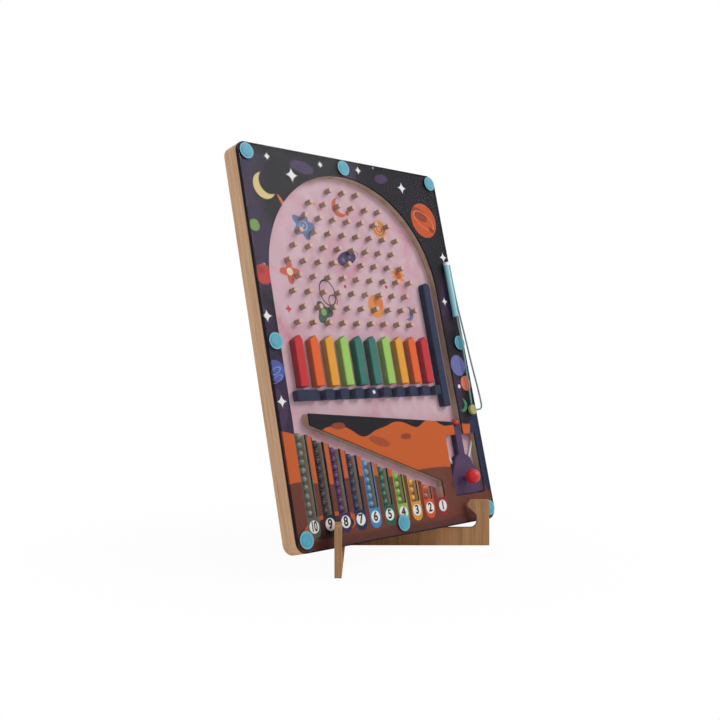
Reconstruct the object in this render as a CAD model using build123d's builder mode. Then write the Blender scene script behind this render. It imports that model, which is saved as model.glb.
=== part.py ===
# Tabletop pinball game on a crossed wooden stand, millimetres, +Z up, +X to the player's right.
# The origin is where the two stand plates cross, on the table. The player looks along +Y.
from build123d import *
from math import cos, hypot, pi, radians, sin, tan
import os

os.makedirs("parts", exist_ok=True)

# Board: three layers of wood and print under a clear cover
board_corner = 8.5
left_border = 13.0
right_border = 22.0
top_border = 15.0
lean_angle = 13.5
face_thickness = 1.6
frame_thickness = 5.8
sheet_thickness = 0.4
base_thickness = 8.0
cover_thickness = 1.0
cover_inset = 1.0
edge_round = 0.5
slide_gap = 0.1
fit_gap = 0.1

# Balls and the ten counting slots: slots, bars and pegs share one pitch across the board
ball_diameter = 5.9
ball_pitch = 6.0
slot_count = 10
pitch = 15.2
slot_width = 9.6
slot_floor = 23.5
slot_corner = 1.2

# Ramp over the slots, and the lane beside it
ramp_gap = 9.0
ramp_tip_space = 16.0
ramp_tip_height = 8.5
ramp_end_height = 10.5
lane_width = 8.0
lane_mouth = 11.0

# Launcher pocket and plunger
pocket_width = 38.0
pocket_floor = 22.5
pocket_height = 49.5
pocket_corner = 2.0
plunger_inset = 4.5
plunger_travel = 10.0
plunger_gap = 0.5
plunger_base_height = 12.0
plunger_notch_width = 21.0
plunger_notch_rise = 27.0
plunger_shoulder_rise = 6.0
plunger_nose_width = 8.0
plunger_nose_length = 23.5
fin_radius = 8.0
stem_tenon = 3.0
lane_offset = 1.3
knob_diameter = 12.0
knob_rise = 13.5
knob_side = -2.5
stem_diameter = 4.0
knob_gap = 0.3
elastic_diameter = 1.5
elastic_anchor_rise = 15.0
elastic_anchor_depth = 2.0
elastic_bend = 1.5
elastic_gap = 0.3

# Pegs: ten staggered rows, each with its first half step and its number of pegs
peg_diameter = 4.0
peg_height = 6.0
peg_tenon = 2.5
peg_side_space = 24.0
peg_low_space = 10.5
peg_high_space = 12.5
peg_row_pitch = 12.0
peg_rows = [(0, 9), (1, 9), (0, 9), (1, 9), (0, 9), (1, 8), (2, 8), (3, 7), (4, 6), (7, 3)]

# Ten painted bars, the gate under them and the lane bar
bar_side_space = 18.4
bar_gap = 2.5
bar_width = 8.0
bar_height = 6.2
bar_length = 35.0
bar_point = 3.5
bar_point_side = 1.8
bar_chamfer = 0.4
bar_names = ["red", "orange", "yellow", "lime", "teal", "teal", "lime", "yellow", "orange", "red"]
gate_reach_left = 8.4
gate_reach_right = 10.1
gate_space = 10.0
gate_width = 7.4
gate_height = 5.9
gate_web = 0.7
gate_channel = 6.8
gate_mouth = 9.6
gate_mouth_depth = 2.2
gate_tongue_width = 3.0
gate_tongue_depth = 2.0
gate_tongue_margin = 12.0
groove_gap = 0.15
gate_plug_diameter = 3.0
gate_plug_proud = 0.25
lane_bar_gap = 7.8
lane_bar_width = 8.0
lane_bar_drop = 10.0
lane_bar_rise = 7.2

# Cover caps on their screws, and the button that holds the wand's cord
cap_diameter = 9.4
cap_flange = 12.4
cap_flange_height = 0.6
cap_height = 1.0
cap_round = 0.3
cap_margin = 9.0
cap_side_margin = 8.0
cap_left_margin = 8.0
cap_right_margin = 7.0
cap_middle_shift = -3.0
cap_side_shift = -1.0
screw_diameter = 3.0
screw_head_diameter = 6.0
screw_head_height = 0.5
screw_length = 11.0
button_diameter = 8.4
button_height = 2.4
button_round = 0.5
button_inset = 7.2
button_rise = 91.3
button_stem_length = 6.0

# Wand: a rod with a magnet under its collar, and its cord
wand_diameter = 4.8
wand_inset = 8.1
wand_space = 22.4
wand_length = 45.8
wand_round = 0.6
collar_height = 2.4
ear_width = 2.6
ear_reach = 4.0
magnet_diameter = 3.2
magnet_height = 4.0
cord_diameter = 1.5
cord_socket_depth = 1.5
cord_gap = 0.25
inner_strand_side = 1.2

# Stand: two crossed plates
plate_thickness = 5.0
stand_spread = 45.0
face_reach = 72.0
board_shift = -0.25
notch_floor = 14.25
notch_corner = 5.0
heel_corner = 1.0
seat_gap = 0.05
lean_gap = 0.3
post_width = 10.0
post_height = 36.5
post_corner = 1.5
foot_corner = 0.8
nub_height = 12.1
nub_nose = 5.0
nub_length = 7.0
nub_round = 2.8
throat_round = 2.0
support_height = 95.0
support_width = 14.0
support_foot = 22.0
support_front_round = 3.0
support_back_round = 5.0
saddle_round = 12.0
spine_height = 30.0
tail_length = 35.0
tail_corner = 8.0
lap_gap = 0.1

# Levels in front of (+) or behind (-) the printed face
cover_front = cover_thickness
screw_tip = cover_front - screw_length
frame_front = -face_thickness
frame_back = frame_front - frame_thickness
floor_level = frame_back + sheet_thickness
board_back = frame_back - base_thickness
board_thickness = -board_back

# Across the board, from its lower left corner: slots, bars, lane, pocket and borders
first_slot = left_border + slot_width / 2
slot_centres = [first_slot + i * pitch for i in range(slot_count)]
slots_right = slot_centres[-1] + slot_width / 2
ramp_tip = left_border + ramp_tip_space
peg_first = left_border + peg_side_space
bar_first = left_border + bar_side_space
bar_last = bar_first + (slot_count - 1) * pitch
gate_left = bar_first - gate_reach_left
gate_right = bar_last + gate_reach_right
lane_bar_left = bar_last + bar_width / 2 + lane_bar_gap
wall_left = left_border
wall_right = lane_bar_left + lane_bar_width + lane_width
lane_wall = wall_right - lane_mouth
plunger_axis = wall_right - plunger_inset
arch_radius = (wall_right - wall_left) / 2
arch_middle = (wall_left + wall_right) / 2
board_width = wall_right + right_border
wand_axis = board_width - wand_inset

# Slots stand under one slanted line, and the ramp above them runs parallel to it
slot_slope = ball_pitch / pitch


def fin_line(u):
    return slot_floor + slot_count * ball_pitch - (u - first_slot) * slot_slope


def ramp_line(u):
    return fin_line(u) + ramp_gap


# Up the board: pocket, gate, bars, pegs and the arch over them
pocket_top = pocket_floor + pocket_height
knob_height = pocket_floor + knob_rise
knob_axis = plunger_axis + knob_side
plunger_notch_height = pocket_floor + plunger_notch_rise
plunger_shoulder = plunger_notch_height + plunger_shoulder_rise
plunger_nose_top = plunger_shoulder + plunger_nose_length
elastic_anchor_height = plunger_notch_height + elastic_anchor_rise
gate_bottom = ramp_line(ramp_tip) + ramp_tip_height + gate_space
bar_bottom = gate_bottom + gate_width + bar_gap
bar_shoulder = bar_bottom + bar_length
bar_tip = bar_shoulder + bar_point
peg_row_first = bar_tip + peg_low_space
arch_top = peg_row_first + (len(peg_rows) - 1) * peg_row_pitch + peg_high_space
arch_spring = arch_top - arch_radius
board_height = arch_top + top_border
lane_bar_bottom = gate_bottom - lane_bar_drop
lane_bar_top = arch_spring + lane_bar_rise
cap_side_height = board_height / 2 + cap_side_shift
wand_bottom = cap_side_height + wand_space
wand_top = wand_bottom + wand_length
button_place = (board_width - button_inset, button_rise)

# The board's own plane: x to the right and y up the printed face, z out of it
face_bottom = notch_floor + seat_gap + board_thickness * sin(radians(lean_angle))
board = Plane(
    origin=(board_shift - board_width / 2, -face_reach, face_bottom),
    x_dir=(1, 0, 0),
    z_dir=(0, -cos(radians(lean_angle)), sin(radians(lean_angle))),
)

# Cap places: three along the top and bottom edges, one halfway up each side
cap_places = [
    (u, v)
    for v in (cap_margin, board_height - cap_side_margin)
    for u in (cap_left_margin, board_width / 2 + cap_middle_shift, board_width - cap_side_margin)
]
cap_places += [(u, cap_side_height) for u in (cap_left_margin, board_width - cap_right_margin)]
peg_places = [
    (peg_first + (first / 2 + i) * pitch, peg_row_first + row * peg_row_pitch)
    for row, (first, count) in enumerate(peg_rows)
    for i in range(count)
]


def finish(piece, name):
    piece.part.label = name
    export_step(piece.part, "parts/" + name + ".step")


# Outlines shared by the layers
with BuildSketch(Plane.XY, mode=Mode.PRIVATE) as board_outline:
    with Locations((board_width / 2, board_height / 2)):
        RectangleRounded(board_width, board_height, board_corner)
near = 0.01


def opening_outline(pocket_end):
    # the playfield under its arch, the ten slots, the ramp's ledge and the launcher pocket
    with BuildSketch(Plane.XY, mode=Mode.PRIVATE) as outline:
        with BuildLine():
            Polyline(
                (wall_left, arch_spring),
                (wall_left, fin_line(wall_left)),
                (slots_right, fin_line(slots_right)),
                (slots_right, ramp_line(slots_right)),
                (ramp_tip, ramp_line(ramp_tip)),
                (ramp_tip, ramp_line(ramp_tip) + ramp_tip_height),
                (lane_wall, pocket_top + ramp_end_height),
                (lane_wall, pocket_top),
                (wall_right, pocket_top),
                (wall_right, arch_spring),
            )
            CenterArc((arch_middle, arch_spring), arch_radius, 0, 180)
        make_face()
        for u in slot_centres:
            top = fin_line(u - slot_width / 2)
            with Locations((u, (slot_floor + top) / 2)):
                Rectangle(slot_width, top - slot_floor)
        with Locations((plunger_axis, (pocket_end + pocket_top) / 2)):
            Rectangle(pocket_width, pocket_top - pocket_end)
        fillet(outline.vertices().filter_by(lambda p: abs(p.Y - slot_floor) < near), slot_corner)
        fillet(outline.vertices().filter_by(lambda p: abs(p.Y - pocket_end) < near), pocket_corner)
    return outline.sketch


# The plunger's base slides under the printed face, so the frame's pocket runs on below it
frame_opening = opening_outline(pocket_floor - plunger_travel - plunger_gap)
face_opening = opening_outline(pocket_floor)
groove_left = gate_left + gate_tongue_margin
groove_right = gate_right - gate_tongue_margin
gate_middle = gate_bottom + gate_width / 2
gate_travel = pitch / 2
gate_back = floor_level + slide_gap
groove_floor = gate_back - gate_tongue_depth - slide_gap


def gate_groove(plane):
    with BuildSketch(plane, mode=Mode.PRIVATE) as groove:
        middle = (groove_left + groove_right - gate_travel) / 2
        with Locations((middle, gate_middle)):
            length = groove_right - groove_left + gate_travel + 2 * groove_gap
            SlotOverall(length, gate_tongue_width + 2 * groove_gap)
    return groove.sketch


# Back board, with blind holes for the pegs and the screws and a groove for the gate
with BuildPart() as base_board:
    with BuildSketch(board.offset(board_back)):
        add(board_outline.sketch)
    extrude(amount=base_thickness)
    with BuildSketch(board.offset(frame_back)):
        with Locations(*peg_places):
            Circle(peg_diameter / 2 + fit_gap)
    extrude(amount=-peg_tenon, mode=Mode.SUBTRACT)
    with BuildSketch(board.offset(frame_back)):
        with Locations(*cap_places):
            Circle(screw_diameter / 2 + fit_gap)
    extrude(amount=screw_tip - fit_gap - frame_back, mode=Mode.SUBTRACT)
    extrude(gate_groove(board.offset(groove_floor)), amount=frame_back - groove_floor, mode=Mode.SUBTRACT)
finish(base_board, "base_board")


def at(u, v, level):
    # a plane parallel to the board's, with its origin over one place on it
    return Plane(origin=board.from_local_coords((u, v, level)), x_dir=board.x_dir, z_dir=board.z_dir)


def drill(places, diameter, level, depth):
    # round holes square to the board, cut from a level backwards
    with BuildSketch(board.offset(level), mode=Mode.PRIVATE) as holes:
        with Locations(*places):
            Circle(diameter / 2)
    extrude(holes.sketch, amount=-depth, mode=Mode.SUBTRACT)


# Printed sheet that covers the playfield's floor
with BuildPart() as playfield_sheet:
    with BuildSketch(board.offset(frame_back)):
        add(frame_opening)
    extrude(amount=sheet_thickness)
    drill(peg_places, peg_diameter + 2 * fit_gap, floor_level, sheet_thickness)
    extrude(gate_groove(board.offset(floor_level)), amount=-sheet_thickness, mode=Mode.SUBTRACT)
finish(playfield_sheet, "playfield_sheet")

# Elastic band: from one pocket wall, behind the plunger's notches, to the other wall
elastic_level = floor_level + slide_gap + elastic_gap + elastic_diameter / 2
notch_half = plunger_notch_width / 2
wall_half = pocket_width / 2
strand_run = hypot(wall_half - notch_half, elastic_anchor_height - plunger_notch_height)
anchor_share = (strand_run + elastic_anchor_depth) / strand_run
anchor_side = notch_half + (wall_half - notch_half) * anchor_share
anchor_height = plunger_notch_height + (elastic_anchor_height - plunger_notch_height) * anchor_share


def strand_plane(side):
    # a plane across the elastic where it ends in the pocket's wall, facing back down the strand
    end = board.from_local_coords((plunger_axis + side * anchor_side, anchor_height, elastic_level))
    notch = board.from_local_coords((plunger_axis + side * notch_half, plunger_notch_height, elastic_level))
    return Plane(origin=end, x_dir=board.z_dir, z_dir=notch - end)


# Frame layer, with the playfield, the slots and the pocket cut through
with BuildPart() as frame_board:
    with BuildSketch(board.offset(frame_back)):
        add(board_outline.sketch)
        add(frame_opening, mode=Mode.SUBTRACT)
    extrude(amount=frame_thickness)
    drill(cap_places, screw_diameter + 2 * fit_gap, frame_front, frame_thickness)
    drill([button_place], screw_diameter + 2 * fit_gap, frame_front, button_stem_length)
    for side in (-1, 1):
        with BuildSketch(strand_plane(side)):
            Circle(elastic_diameter / 2 + fit_gap)
        extrude(amount=2 * elastic_anchor_depth, mode=Mode.SUBTRACT)
finish(frame_board, "frame_board")

# Printed face panel, the same outline with a shorter pocket
with BuildPart() as printed_face:
    with BuildSketch(board.offset(frame_front)):
        add(board_outline.sketch)
    extrude(amount=face_thickness)
    fillet(printed_face.faces().sort_by(Axis(board.origin, board.z_dir))[-1].edges(), edge_round)
    with BuildSketch(board):
        add(face_opening)
    extrude(amount=-face_thickness, mode=Mode.SUBTRACT)
    drill(cap_places + [button_place], screw_diameter + 2 * fit_gap, 0, face_thickness)
finish(printed_face, "printed_face")

# Clear cover, with a slot for the plunger's stem
stem_slot_width = stem_diameter + 2 * plunger_gap
with BuildPart() as clear_cover:
    with BuildSketch(board):
        add(offset(board_outline.sketch, -cover_inset, mode=Mode.PRIVATE))
        with Locations((knob_axis, knob_height - plunger_travel / 2)):
            SlotOverall(plunger_travel + stem_slot_width, stem_slot_width, rotation=90, mode=Mode.SUBTRACT)
    extrude(amount=cover_thickness)
    drill(cap_places + [button_place], screw_diameter + 2 * fit_gap, cover_front, cover_thickness)
finish(clear_cover, "clear_cover")

# Cover screws under their round caps
with BuildPart() as cap_screws:
    with BuildSketch(board.offset(cover_front)):
        with Locations(*cap_places):
            Circle(screw_head_diameter / 2)
    extrude(amount=screw_head_height)
    with BuildSketch(board.offset(screw_tip)):
        with Locations(*cap_places):
            Circle(screw_diameter / 2)
    extrude(amount=screw_length)
finish(cap_screws, "cap_screws")

with BuildPart() as cover_caps:
    with BuildSketch(board.offset(cover_front)):
        with Locations(*cap_places):
            Circle(cap_diameter / 2)
    extrude(amount=cap_height)
    domes = cover_caps.faces().sort_by(Axis(board.origin, board.z_dir))[-len(cap_places):]
    fillet(domes.edges(), cap_round)
    with BuildSketch(board.offset(cover_front)):
        with Locations(*cap_places):
            Circle(cap_flange / 2)
    extrude(amount=cap_flange_height)
    with BuildSketch(board.offset(cover_front)):
        with Locations(*cap_places):
            Circle(screw_head_diameter / 2 + fit_gap)
    extrude(amount=screw_head_height + fit_gap, mode=Mode.SUBTRACT)
finish(cover_caps, "cover_caps")

# Pegs, glued into the back board through the sheet
with BuildPart() as pegs:
    with BuildSketch(board.offset(frame_back - peg_tenon)):
        with Locations(*peg_places):
            Circle(peg_diameter / 2)
    extrude(amount=peg_tenon + sheet_thickness + peg_height)
finish(pegs, "pegs")


def soften(piece, size):
    # breaks the front edges of a flat wooden piece
    front = piece.faces().sort_by(Axis(board.origin, board.z_dir))[-1]
    chamfer(front.edges(), size)


# Ten painted bars with pointed upper ends
for i, colour in enumerate(bar_names):
    with BuildPart() as bar:
        with BuildSketch(at(bar_first + i * pitch, 0, floor_level)):
            with BuildLine():
                Polyline(
                    (-bar_width / 2, bar_bottom),
                    (bar_width / 2, bar_bottom),
                    (bar_width / 2, bar_shoulder),
                    (bar_point_side, bar_tip),
                    (-bar_width / 2, bar_shoulder),
                    close=True,
                )
            make_face()
        extrude(amount=bar_height)
        soften(bar, bar_chamfer)
    finish(bar, "bar_" + str(i + 1) + "_" + colour)

with BuildPart() as lane_bar:
    with BuildSketch(at(lane_bar_left + lane_bar_width / 2, 0, floor_level)):
        round_top = lane_bar_top - lane_bar_width / 2
        with Locations((0, (lane_bar_bottom + round_top) / 2)):
            Rectangle(lane_bar_width, round_top - lane_bar_bottom)
        with Locations((0, round_top)):
            Circle(lane_bar_width / 2)
    extrude(amount=peg_height)
    soften(lane_bar, bar_chamfer)
finish(lane_bar, "lane_bar")

# Release gate: a thin web with humps between the channels, and a tongue that runs in the groove
plug_place = ((bar_first + bar_last) / 2, gate_middle)
with BuildPart() as release_gate:
    with BuildSketch(board.offset(gate_back)):
        with Locations(((gate_left + gate_right) / 2, gate_middle)):
            Rectangle(gate_right - gate_left, gate_width)
    extrude(amount=gate_height)
    with BuildSketch(board.offset(gate_back + gate_web)):
        gate_top = gate_bottom + gate_width
        with Locations(*[(bar_first + i * pitch, 0) for i in range(1, slot_count)]):
            Polygon(
                (-gate_channel / 2, gate_bottom),
                (gate_channel / 2, gate_bottom),
                (gate_channel / 2, gate_top - gate_mouth_depth),
                (gate_mouth / 2, gate_top),
                (-gate_mouth / 2, gate_top),
                (-gate_channel / 2, gate_top - gate_mouth_depth),
                align=None,
            )
    extrude(amount=gate_height, mode=Mode.SUBTRACT)
    with BuildSketch(board.offset(gate_back - gate_tongue_depth)):
        with Locations(((groove_left + groove_right) / 2, gate_middle)):
            SlotOverall(groove_right - groove_left, gate_tongue_width)
    extrude(amount=gate_tongue_depth)
    drill([plug_place], gate_plug_diameter + fit_gap, gate_back + gate_height, gate_height)
finish(release_gate, "release_gate")

with BuildPart() as gate_plug:
    with BuildSketch(at(*plug_place, gate_back)):
        Circle(gate_plug_diameter / 2)
    extrude(amount=gate_height + gate_plug_proud)
finish(gate_plug, "gate_plug")

# Plunger: a flat rocket shape that slides in the pocket and up into the lane
plunger_back = floor_level + slide_gap
plunger_front = frame_front - 2 * slide_gap
base_half = wall_half - plunger_gap
base_bottom = pocket_floor + plunger_gap
with BuildPart() as plunger:
    with BuildSketch(at(plunger_axis, 0, plunger_back)):
        with BuildLine():
            nose_half = plunger_nose_width / 2
            Polyline(
                (0, plunger_nose_top),
                (nose_half, plunger_nose_top),
                (nose_half, plunger_shoulder),
            )
            RadiusArc((nose_half, plunger_shoulder), (notch_half, plunger_notch_height), fin_radius)
            Polyline(
                (notch_half, plunger_notch_height),
                (base_half, base_bottom + plunger_base_height),
                (base_half, base_bottom),
                (0, base_bottom),
                (0, plunger_nose_top),
            )
        make_face()
        mirror(about=Plane.YZ)
    extrude(amount=plunger_front - plunger_back)
    soften(plunger, bar_chamfer)
    with BuildSketch(at(plunger_axis, plunger_notch_height, plunger_back)):
        Rectangle(2 * base_half, elastic_diameter + 2 * elastic_gap)
    extrude(amount=elastic_level - plunger_back + elastic_diameter / 2 + slide_gap, mode=Mode.SUBTRACT)
    drill([(knob_axis, knob_height)], stem_diameter + 2 * fit_gap, plunger_front, stem_tenon + fit_gap)
finish(plunger, "plunger")

# Knob on its stem, standing clear of the cover
knob_level = cover_front + knob_gap + knob_diameter / 2
with BuildPart() as knob_stem:
    with BuildSketch(at(knob_axis, knob_height, plunger_front - stem_tenon)):
        Circle(stem_diameter / 2)
    extrude(amount=knob_level + stem_tenon / 2 - plunger_front + stem_tenon)
finish(knob_stem, "knob_stem")

with BuildPart() as plunger_knob:
    with Locations(at(knob_axis, knob_height, knob_level)):
        Sphere(knob_diameter / 2)
    with BuildSketch(at(knob_axis, knob_height, plunger_front)):
        Circle(stem_diameter / 2 + fit_gap)
    extrude(amount=knob_level + stem_tenon / 2 + fit_gap - plunger_front, mode=Mode.SUBTRACT)
finish(plunger_knob, "plunger_knob")

with BuildPart() as plunger_elastic:
    with BuildLine(board.offset(elastic_level)) as band:
        FilletPolyline(
            (plunger_axis - anchor_side, anchor_height),
            (plunger_axis - notch_half - slide_gap, plunger_notch_height),
            (plunger_axis + notch_half + slide_gap, plunger_notch_height),
            (plunger_axis + anchor_side, anchor_height),
            radius=elastic_bend,
        )
    with BuildSketch(Plane(origin=band.line @ 0, z_dir=band.line % 0)):
        Circle(elastic_diameter / 2)
    sweep(path=band.line)
finish(plunger_elastic, "plunger_elastic")

# Balls: each slot holds as many as its number, and the last ball waits on the plunger
ball_level = floor_level + ball_pitch / 2
ball_names = [
    "10_grey", "9_black", "8_purple", "7_navy", "6_blue", "5_green", "4_lime", "3_yellow", "2_orange"
]
for i, colour in enumerate(ball_names):
    with BuildPart() as balls:
        for k in range(slot_count - i):
            with Locations(at(slot_centres[i], slot_floor + (k + 0.5) * ball_pitch, ball_level)):
                Sphere(ball_diameter / 2)
    finish(balls, "balls_" + colour)

with BuildPart() as ball_1_red:
    with Locations(at(plunger_axis + lane_offset, plunger_nose_top + ball_pitch / 2, ball_level)):
        Sphere(ball_diameter / 2)
finish(ball_1_red, "ball_1_red")

# Button that anchors both strands of the wand's cord: each strand's first run points at its middle
cord_level = cover_front + cord_diameter / 2 + cord_gap
button_rim = button_diameter / 2
button_middle = board.from_local_coords((*button_place, cord_level))
inner_first = (211.9, 116.0, cord_level)
outer_first = (218.8, 90.9, cord_level)


def socket_plane(first):
    # a plane across a strand where it ends inside the button, facing out along the strand
    way = (board.from_local_coords(first) - button_middle).normalized()
    return Plane(origin=button_middle + way * (button_rim - cord_socket_depth), x_dir=board.z_dir, z_dir=way)


with BuildPart() as cord_button:
    with BuildSketch(at(*button_place, cover_front)):
        Circle(button_rim)
    extrude(amount=button_height)
    fillet(cord_button.faces().sort_by(Axis(board.origin, board.z_dir))[-1].edges(), button_round)
    with BuildSketch(at(*button_place, cover_front)):
        Circle(screw_diameter / 2)
    extrude(amount=-button_stem_length)
    for first in (inner_first, outer_first):
        with BuildSketch(socket_plane(first)):
            Circle(cord_diameter / 2 + fit_gap)
        extrude(amount=2 * cord_socket_depth, mode=Mode.SUBTRACT)
finish(cord_button, "cord_button")

# Wand: a rod lying on the cover, its magnet in the upper end under the collar
wand_level = cover_front + wand_diameter / 2 + slide_gap
along = board.y_dir


def across_wand(side, height):
    # a plane square to the wand at one height, facing up the wand
    spot = board.from_local_coords((wand_axis + side, height, wand_level))
    return Plane(origin=spot, x_dir=board.x_dir, z_dir=along)


with BuildPart() as wand_body:
    with BuildSketch(across_wand(0, wand_bottom)):
        Circle(wand_diameter / 2)
    extrude(amount=wand_top - wand_bottom)
    fillet(wand_body.edges().sort_by(Axis(board.origin, along))[0], wand_round)
    with BuildSketch(across_wand(0, wand_top)):
        Circle(magnet_diameter / 2 + fit_gap)
    extrude(amount=-magnet_height - fit_gap, mode=Mode.SUBTRACT)
    with BuildSketch(across_wand(inner_strand_side, wand_bottom)):
        Circle(cord_diameter / 2 + fit_gap)
    extrude(amount=cord_socket_depth, mode=Mode.SUBTRACT)
finish(wand_body, "wand_body")

with BuildPart() as wand_magnet:
    with BuildSketch(across_wand(0, wand_top - magnet_height)):
        Circle(magnet_diameter / 2)
    extrude(amount=magnet_height)
finish(wand_magnet, "wand_magnet")

with BuildPart() as wand_collar:
    with BuildSketch(across_wand(0, wand_top)):
        Circle(wand_diameter / 2)
        with Locations((ear_reach / 2, 0)):
            Rectangle(ear_reach, ear_width)
        with Locations((ear_reach, 0)):
            Circle(ear_width / 2)
    extrude(amount=collar_height)
    with BuildSketch(across_wand(ear_reach, wand_top)):
        Circle(cord_diameter / 2 + fit_gap)
    extrude(amount=cord_socket_depth, mode=Mode.SUBTRACT)
finish(wand_collar, "wand_collar")

# Cord of the wand, in two strands: places on the board, with the height over the printed face
inner_route = [
    inner_first,
    (211.4, 137.0, 3.4),
    (211.4, 151.0, 3.85),
    (wand_axis + inner_strand_side, 162.2, wand_level),
    (wand_axis + inner_strand_side, wand_bottom + cord_socket_depth, wand_level),
]
outer_route = [
    outer_first,
    (223.9, 92.3, 2.0),
    (224.1, 98.6, 2.1),
    (223.0, 110.5, 2.2),
    (219.5, 133.0, 2.9),
    (216.9, 157.0, 3.6),
    (214.9, 176.0, 3.6),
    (wand_axis + ear_reach, 201.0, wand_level),
    (wand_axis + ear_reach, wand_top + cord_socket_depth, wand_level),
]


def strand(route, name):
    # a round cord of straight runs joined by arcs as large as the runs allow
    points = [socket_plane(route[0]).origin] + [board.from_local_coords(place) for place in route]
    radii = []
    for before, corner, after in zip(points, points[1:], points[2:]):
        turn = (corner - before).get_angle(after - corner)
        shorter = min((corner - before).length, (after - corner).length)
        radii.append(0.45 * shorter / tan(radians(turn / 2)))
    with BuildPart() as cord:
        with BuildLine() as path:
            FilletPolyline(*points, radius=radii)
        with BuildSketch(Plane(origin=path.line @ 0, z_dir=path.line % 0)):
            Circle(cord_diameter / 2)
        sweep(path=path.line)
    section = pi * cord_diameter**2 / 4
    length = sum(edge.length for edge in path.edges())
    print(name, "length", round(length, 1), "radii", [round(r, 1) for r in radii])
    print(name, "volume over section times length", round(cord.part.volume / section / length, 4))
    finish(cord, name)


strand(inner_route, "wand_cord_inner")
strand(outer_route, "wand_cord_outer")

# Stand plates, drawn from the crossing (s = 0) outwards to the front, and up from the table
spread = radians(stand_spread)
lean = radians(lean_angle)
corner_reach = plate_thickness / 2 * tan(spread)


def face_at(height):
    # where the leaning face crosses a plate's middle, at a height
    return (face_reach - (height - face_bottom) * tan(lean)) / cos(spread)


def back_at(height):
    # the same for the board's back
    return face_at(height) - board_thickness / cos(lean) / cos(spread)


cover_reach = (cover_front + lean_gap) / cos(lean) / cos(spread)
nub_tip = face_at(post_height - nub_nose) + cover_reach + corner_reach
post_inner = nub_tip + nub_length
front_end = post_inner + post_width
support_low = back_at(notch_floor) - corner_reach - lean_gap
support_high = back_at(support_height) - corner_reach - lean_gap


# one radius for each point of a plate's outline, from the front foot round to the tail
plate_rounds = [foot_corner, post_corner, nub_round, nub_round, throat_round, notch_corner]
plate_rounds += [heel_corner, support_front_round, support_back_round, saddle_round, tail_corner, foot_corner]


def stand_plate(side, name):
    ahead = Vector(side * sin(spread), -cos(spread), 0)
    upright = Plane(origin=(0, 0, 0), x_dir=ahead, z_dir=ahead.cross(Vector(0, 0, 1)))
    with BuildPart() as plate:
        with BuildSketch(upright):
            with BuildLine():
                FilletPolyline(
                    (front_end, 0),
                    (front_end, post_height),
                    (nub_tip, post_height),
                    (nub_tip, post_height - nub_nose),
                    (post_inner, post_height - nub_height),
                    (post_inner, notch_floor),
                    (support_low, notch_floor),
                    (support_high, support_height),
                    (support_high - support_width, support_height),
                    (support_foot, spine_height),
                    (-tail_length, spine_height),
                    (-tail_length, 0),
                    radius=plate_rounds,
                    close=True,
                )
            make_face()
        extrude(amount=plate_thickness / 2, both=True)
        # the left plate is notched from above and the right one from below
        with BuildSketch(upright):
            with Locations((0, spine_height * (1 - side) / 2)):
                Rectangle(plate_thickness + 2 * lap_gap, spine_height)
        extrude(amount=plate_thickness, both=True, mode=Mode.SUBTRACT)
    finish(plate, name)


stand_plate(-1, "stand_left")
stand_plate(1, "stand_right")
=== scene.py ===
# A tabletop pinball game that leans on a crossed wooden stand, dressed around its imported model.
# Places on the board are in millimetres: u to the right, v up the face, w out of it.
from math import cos, pi, radians, sin

import bmesh
import bpy
from mathutils import Matrix, Vector


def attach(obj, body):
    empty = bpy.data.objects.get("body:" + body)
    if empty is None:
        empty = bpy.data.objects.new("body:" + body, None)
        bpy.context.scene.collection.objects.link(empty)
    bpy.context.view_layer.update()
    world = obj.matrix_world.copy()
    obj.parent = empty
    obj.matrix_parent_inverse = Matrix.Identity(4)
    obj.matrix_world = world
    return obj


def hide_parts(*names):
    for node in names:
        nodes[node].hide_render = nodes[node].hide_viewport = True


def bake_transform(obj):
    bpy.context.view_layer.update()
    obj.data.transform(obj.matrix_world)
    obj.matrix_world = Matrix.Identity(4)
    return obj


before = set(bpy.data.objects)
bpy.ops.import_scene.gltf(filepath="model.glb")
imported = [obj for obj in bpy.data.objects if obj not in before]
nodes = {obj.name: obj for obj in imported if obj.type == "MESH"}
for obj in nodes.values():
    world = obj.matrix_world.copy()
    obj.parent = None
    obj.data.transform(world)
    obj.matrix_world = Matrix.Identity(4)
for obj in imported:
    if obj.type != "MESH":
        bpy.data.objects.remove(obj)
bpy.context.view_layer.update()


# Stand: two brown wooden plates with upright grain, slotted across each other where they
# cross. Their saw-cut edges are lightly sanded and the whole is rubbed with oil.
def seen(red, green, blue):
    """a colour as the eye sees it, 0 to 255, as the light that it stands for"""
    parts = [c / 255 for c in (red, green, blue)]
    return [c / 12.92 if c < 0.04045 else ((c + 0.055) / 1.055) ** 2.4 for c in parts] + [1.0]


def coat(name, roughness, **sockets):
    """a look with its shader, and the numbers that are the same all over the piece"""
    look = bpy.data.materials.new(name)
    look.use_nodes = True
    shader = look.node_tree.nodes["Principled BSDF"]
    shader.inputs["Roughness"].default_value = roughness
    for socket, value in sockets.items():
        shader.inputs[socket.replace("_", " ")].default_value = value
    return look


def lay(look, kind, feeds, result=0, **choices):
    """one step of a look: feeds are numbers, or what earlier steps gave"""
    step = look.node_tree.nodes.new("ShaderNode" + kind)
    for choice, value in choices.items():
        setattr(step, choice, value)
    for place, value in feeds.items():
        if isinstance(value, bpy.types.NodeSocket):
            look.node_tree.links.new(value, step.inputs[place])
        else:
            step.inputs[place].default_value = value
    return step.outputs[result]


def reckon(look, operation, *values):
    """one sum, product or other step of arithmetic in a look"""
    return lay(look, "Math", dict(enumerate(values)), operation=operation)


def blend_in(look, share, under, over):
    """lays one colour over another, by a share"""
    return lay(look, "Mix", {0: share, 6: under, 7: over}, result=2, data_type="RGBA")


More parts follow.
